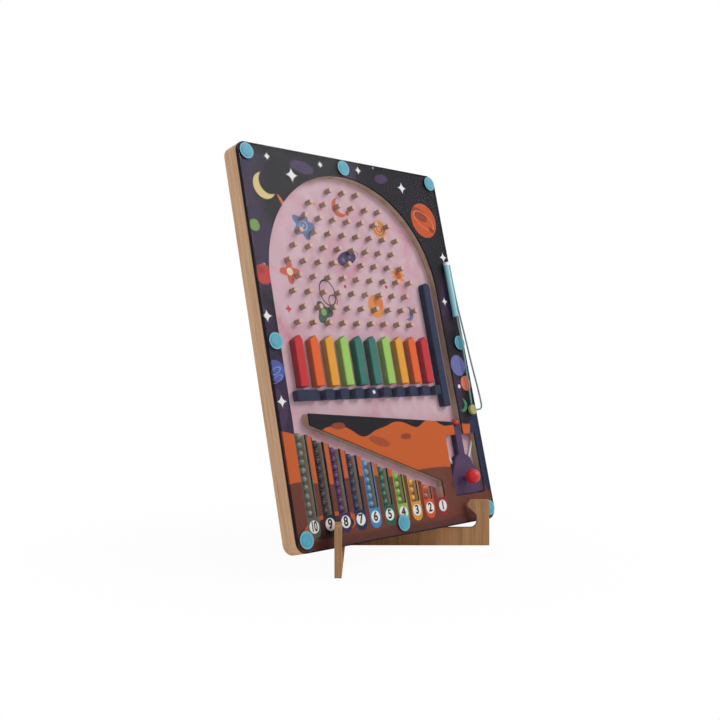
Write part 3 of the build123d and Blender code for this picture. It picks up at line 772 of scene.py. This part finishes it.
# Numbers 10 to 1: printed in black on the white discs under the slots, a film of ink. The 10
# is set narrower than the rest, so that both its digits stay on the disc.
ink_look = coat("black_ink", 0.45, Specular_IOR_Level=0.3)
ink_mottle = speckle(ink_look, board_spot(ink_look), 1.5, 3.0)
finish_look(ink_look, two_tones(ink_look, ink_mottle, (20, 18, 20), (34, 31, 34)))
ink_film = 0.03
ink_spread = 0.3
number_high = 6.6
digit_share = 0.7
numbers = bmesh.new()
for i in range(slot_count):
    digits = bpy.data.curves.new("number", "FONT")
    digits.body = str(slot_count - i)
    digits.size = number_high / digit_share
    digits.extrude = ink_spread
    digits.bevel_depth = ink_spread
    digits.bevel_resolution = 0
    digits.align_x = "CENTER"
    digits.align_y = "CENTER"
    mesh = drawn_mesh(digits, "number")
    narrow = 0.62 if i == 0 else 0.92
    flat = Matrix.Diagonal((narrow, 1, ink_film / (4 * ink_spread), 1))
    place = Matrix.Translation((first_slot + i * pitch, number_middle, ink_film / 2))
    mesh.transform(place @ flat)
    numbers.from_mesh(mesh)
bmesh.ops.remove_doubles(numbers, verts=numbers.verts, dist=1e-4)
into_place(numbers, "slot_numbers", ink_look, "board", [], smooth=False)


# Clear cover: a sheet of clear plastic over the whole face, with the slot for the knob's stem.
# It lies on the print with a hair of air between them, and its cut edge looks dark.
cover_thick = 1.0
cut_edge = 1.15
air = 0.05
cover = bmesh.new()
cover.from_mesh(nodes["clear_cover"].data)
bmesh.ops.remove_doubles(cover, verts=cover.verts, dist=1e-7)
bmesh.ops.transform(cover, matrix=board_place.inverted(), verts=cover.verts)
for corner in cover.verts:
    corner.co.z = air + corner.co.z * (1.0 - air / cover_thick)
cover_look = coat("clear_plastic", 0.08, Specular_IOR_Level=0.5)
spot = board_spot(cover_look)
u, v = parted(cover_look, spot)[:2]
cover_edge = near_edge(cover_look, u, v, cut_edge)
smear = speckle(cover_look, spot, 0.03, 2.0)
cover_tint = two_tones(cover_look, smear, (66, 62, 68), (80, 76, 82))
finish_look(cover_look, blend_in(cover_look, cover_edge, cover_tint, seen(30, 26, 36)))
clearness = lay(cover_look, "MapRange", {"Value": cover_edge, "To Min": 0.035, "To Max": 0.8})
cover_shader = cover_look.node_tree.nodes["Principled BSDF"]
cover_look.node_tree.links.new(clearness, cover_shader.inputs["Alpha"])
into_place(cover, "clear_front", cover_look, "board", ["clear_cover"])


# Caps: eight round sky-blue plastic caps, pressed over the heads of the cover's steel screws.
# Their thin flanges are paler than their flat tops, and their sides are painted darker, as painted
# shade.
flange_top = 1.6
cap_look = coat("sky_blue_plastic", 0.45, Specular_IOR_Level=0.3)
spot = board_spot(cap_look)
w = parted(cap_look, spot)[2]
cap_mottle = speckle(cap_look, spot, 0.35, 4.0, 0.6)
cap_colour = steps(cap_look, cap_mottle, [
    (0.34, seen(74, 152, 177)), (0.52, seen(82, 161, 185)), (0.66, seen(94, 170, 189)),
])
cap_flange = within(cap_look, w, flange_top + 0.15, 0.12)
cap_colour = blend_in(cap_look, cap_flange, cap_colour, seen(106, 176, 192))
# the caps' sides are painted darker, as painted shade
cap_side_shade = within(cap_look, facing_out(cap_look), 0.45, 0.25)
cap_colour = blend_in(cap_look, cap_side_shade, cap_colour, seen(58, 116, 136))
finish_look(cap_look, cap_colour, cap_mottle, 0.02)
dress("cover_caps", cap_look)
dress("cap_screws", steel_look)


# Button: a small round button of yellow plastic, its stem pressed into a hole near the board's
# right edge. Both strands of the cord end inside it.
button_look = coat("yellow_plastic", 0.5, Specular_IOR_Level=0.2)
spot = board_spot(button_look)
button_mottle = speckle(button_look, spot, 0.5, 3.0)
button_yellow = two_tones(button_look, button_mottle, (160, 154, 98), (178, 172, 116))
finish_look(button_look, button_yellow, speckle(button_look, spot, 2.0), 0.01)
dress("cord_button", button_look)


# Wand: a glossy blue rod with a magnet in its upper end, under a white collar with an ear for
# the cord. Both are smooth moulded plastic.
wand_look = coat("wand_blue_plastic", 0.2, Coat_Weight=0.5, Coat_Roughness=0.08)
spot = board_spot(wand_look)
wand_tone = speckle(wand_look, stretched(wand_look, spot, (0.4, 0.05, 0.4)), 1.0, 2.0)
wand_blue = two_tones(wand_look, wand_tone, (130, 196, 212), (154, 212, 224))
finish_look(wand_look, wand_blue, speckle(wand_look, spot, 1.0), 0.01)
dress("wand_body", wand_look)
collar_look = coat("white_plastic", 0.35)
spot = board_spot(collar_look)
collar_tone = speckle(collar_look, spot, 0.6)
collar_white = two_tones(collar_look, collar_tone, (232, 234, 234), (246, 247, 247))
finish_look(collar_look, collar_white, speckle(collar_look, spot, 2.0), 0.01)
dress("wand_collar", collar_look)
dress("wand_magnet", steel_look)


# Cord: a limp braided cord of 1.5 mm in two strands. One runs from the button to the wand's
# lower end, and the other bends round outside it, up to the ear on the collar.
cord_look = coat("teal_braid", 0.75, Sheen_Weight=0.4)
spot = board_spot(cord_look)
twist = lay(
    cord_look, "TexWave", {"Vector": spot, "Scale": 0.7, "Distortion": 2.0, "Detail": 2.0},
    result=1, wave_type="BANDS", bands_direction="DIAGONAL",
)
light_teal, dark_teal = seen(146, 178, 181), seen(94, 128, 132)
teal = steps(cord_look, twist, [(0.25, dark_teal), (0.75, light_teal)])
fuzz = reckon(cord_look, "MULTIPLY", speckle(cord_look, spot, 3.0, 3.0), 0.3)
finish_look(cord_look, blend_in(cord_look, fuzz, teal, dark_teal), twist, 0.12)
cord_thick = 1.5
cord_level = 2.0
strand_level = 3.5
button_radius = 4.2
button_middle = Vector((212.8, 91.3, cord_level))
cords = {
    "cord_inner": ("wand_cord_inner", 79.5, [
        (213.9, 116.0, cord_level),
        (213.4, 137.0, 3.4),
        (213.4, 151.0, 3.85),
        (213.1, 162.2, strand_level),
        (213.1, 173.4, strand_level),
    ]),
    "cord_outer": ("wand_cord_outer", 137.4, [
        (220.8, 90.9, cord_level),
        (225.9, 92.3, 2.0),
        (226.1, 98.6, 2.1),
        (225.0, 110.5, 2.2),
        (221.5, 133.0, 2.9),
        (218.9, 157.0, 3.6),
        (216.9, 176.0, 3.6),
        (215.9, 201.0, strand_level),
        (215.9, 219.2, strand_level),
    ]),
}
for name, (node, length, places) in cords.items():
    way_out = (Vector(places[0]) - button_middle).normalized()
    start = button_middle + way_out * (button_radius - cord_thick)
    route = [start, *places]
    cord = round_strand(route, name, cord_thick, cord_look)
    middle_line = drawn_mesh(strand_line(route, name), name + "_path")
    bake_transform(cord)
    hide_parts(node)


# Studio: a plain pale floor that fades into a white backdrop, one broad soft lamp from the
# upper right and an even white sky. The camera looks level, from the front left.
def studio_light(studio, bright, dim):
    """white where the camera, gloss or glass looks, and a plain level elsewhere"""
    rays = lay(studio, "LightPath", {}).node.outputs
    seen_by = rays["Is Camera Ray"]
    for ray in ("Is Glossy Ray", "Is Transmission Ray"):
        seen_by = reckon(studio, "MAXIMUM", seen_by, rays[ray])
    return lay(studio, "MapRange", {"Value": seen_by, "To Min": dim, "To Max": bright})


world = bpy.data.worlds.new("studio")
bpy.context.scene.world = world
world.use_nodes = True
background = world.node_tree.nodes["Background"]
background.inputs["Color"].default_value = (1, 1, 1, 1)
world.node_tree.links.new(studio_light(world, 1.0, 0.55), background.inputs["Strength"])

floor_half = 6.0
floor_mesh = bmesh.new()
bmesh.ops.create_grid(floor_mesh, x_segments=2, y_segments=2, size=floor_half)
floor_data = bpy.data.meshes.new("studio_floor")
floor_mesh.to_mesh(floor_data)
floor_mesh.free()
floor = bpy.data.objects.new("studio_floor", floor_data)
bpy.context.scene.collection.objects.link(floor)
floor_look = bpy.data.materials.new("pale_floor")
floor_look.use_nodes = True
floor_tree = floor_look.node_tree
floor_tree.nodes.remove(floor_tree.nodes["Principled BSDF"])
matt = lay(floor_look, "BsdfDiffuse", {"Color": (0.86, 0.86, 0.86, 1.0)})
glow_level = studio_light(floor_look, 1.0, 0.0)
glow = lay(floor_look, "Emission", {"Color": (1, 1, 1, 1), "Strength": glow_level})
away = lay(
    floor_look, "VectorMath", {0: object_spot(floor_look)}, result=1, operation="LENGTH",
)
fade_range = {"From Min": 0.06, "From Max": 0.34, "To Min": 0.96, "To Max": 1.0}
fade = lay(
    floor_look, "MapRange", {"Value": away, **fade_range}, interpolation_type="SMOOTHSTEP",
)
camera_ray = lay(floor_look, "LightPath", {}).node.outputs["Is Camera Ray"]
fade = reckon(floor_look, "MULTIPLY", fade, camera_ray)
mixed = lay(floor_look, "MixShader", {0: fade, 1: matt, 2: glow})
floor_tree.links.new(mixed, floor_tree.nodes["Material Output"].inputs["Surface"])
floor_data.materials.append(floor_look)

lamp_data = bpy.data.lights.new("broad_lamp", "AREA")
lamp_data.shape = "DISK"
lamp_data.size = 1.6
lamp_data.energy = 36.0
lamp = bpy.data.objects.new("broad_lamp", lamp_data)
bpy.context.scene.collection.objects.link(lamp)
lamp_spot = Vector((1.3, -1.85, 1.95))
lamp_aim = Vector((0.0, -0.05, 0.16))
lamp.location = lamp_spot
lamp.rotation_euler = (lamp_aim - lamp_spot).to_track_quat("-Z", "Y").to_euler()

picture_pixels = 720
pixels_right, pixels_up = -1.0, -7.3
camera_data = bpy.data.cameras.new("camera")
camera_data.sensor_width = 36.0
camera_data.lens = 48.96
camera_data.shift_x = pixels_right / picture_pixels
camera_data.shift_y = pixels_up / picture_pixels
camera_data.clip_start = 0.01
camera_data.clip_end = 50.0
camera = bpy.data.objects.new("camera", camera_data)
bpy.context.scene.collection.objects.link(camera)
camera.location = (-0.54605, -0.5724, 0.1551)
level_aim = Vector((0.704, 0.710, 0.0))
camera.rotation_euler = level_aim.to_track_quat("-Z", "Y").to_euler()
bpy.context.scene.camera = camera
bpy.context.scene.view_settings.view_transform = "Standard"
